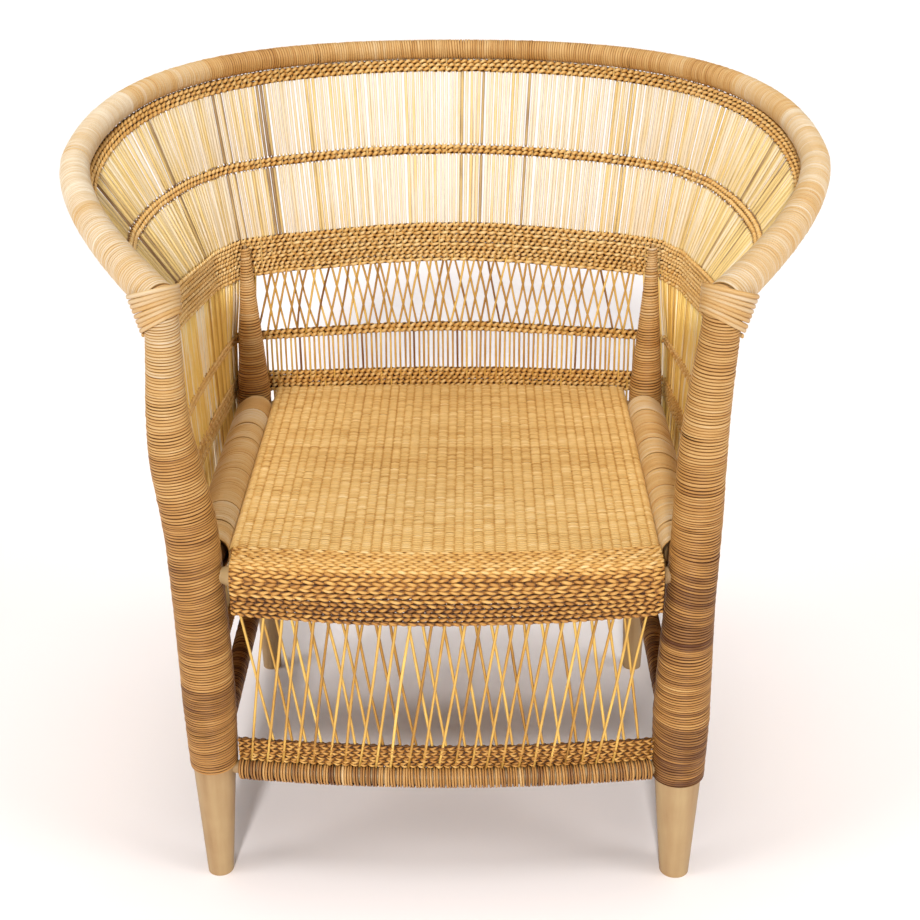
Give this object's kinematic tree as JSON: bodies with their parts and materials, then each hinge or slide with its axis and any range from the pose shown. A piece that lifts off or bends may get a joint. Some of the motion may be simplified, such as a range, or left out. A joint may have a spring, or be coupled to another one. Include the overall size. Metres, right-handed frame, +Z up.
{
  "type": "cane armchair",
  "caption": "Cane armchair with wrapped pole legs, a flared woven wall of thin stakes and twined bands under a bent hoop rail, a woven seat and a lattice apron.",
  "frame": {"origin": "on the floor, under the middle of the chair's bounding box", "axes": "+Z up; the chair faces -Y; +X is to the right seen from the front"},
  "size_m": [0.787, 0.6188, 0.802],
  "materials": {
    "bare_pole": "bare, satin",
    "cane_wrap": "split cane, satin",
    "cane_stake": "split cane, satin",
    "cane_twine": "split cane, satin",
    "seat_weave": "woven split cane, satin",
    "nail": "plain steel"
  },
  "bodies": {
    "root": {"front_leg_left": "bare_pole", "front_leg_right": "bare_pole", "back_leg_left": "bare_pole", "back_leg_right": "bare_pole", "stretcher_front": "bare_pole", "stretcher_back": "bare_pole", "stretcher_left": "bare_pole", "stretcher_right": "bare_pole", "seat_rail_front": "bare_pole", "seat_rail_back": "bare_pole", "seat_rail_left": "bare_pole", "seat_rail_right": "bare_pole", "top_rail": "bare_pole", "seat_bearers": "bare_pole", "front_leg_wrap_left": "cane_wrap", "front_leg_wrap_right": "cane_wrap", "back_leg_wrap_left": "cane_wrap", "back_leg_wrap_right": "cane_wrap", "stretcher_wrap_front": "cane_wrap", "stretcher_wrap_back": "cane_wrap", "stretcher_wrap_left": "cane_wrap", "stretcher_wrap_right": "cane_wrap", "seat_rail_wrap_left": "cane_wrap", "seat_rail_wrap_right": "cane_wrap", "top_rail_wrap": "cane_wrap", "arm_lashing_left": "cane_wrap", "arm_lashing_right": "cane_wrap", "upper_stakes_left": "cane_stake", "upper_stakes_back": "cane_stake", "upper_stakes_right": "cane_stake", "side_stakes_left": "cane_stake", "side_stakes_right": "cane_stake", "back_stakes": "cane_stake", "back_lattice": "cane_stake", "front_lattice": "cane_stake", "rim_band": "cane_twine", "upper_band": "cane_twine", "waist_band": "cane_twine", "lower_band": "cane_twine", "seat_band": "cane_twine", "skirt_band": "cane_twine", "apron_band": "cane_twine", "seat_canes": "seat_weave", "seat_weave": "seat_weave", "front_roll": "seat_weave", "frame_nails": "nail"}
  },
  "joints": []
}
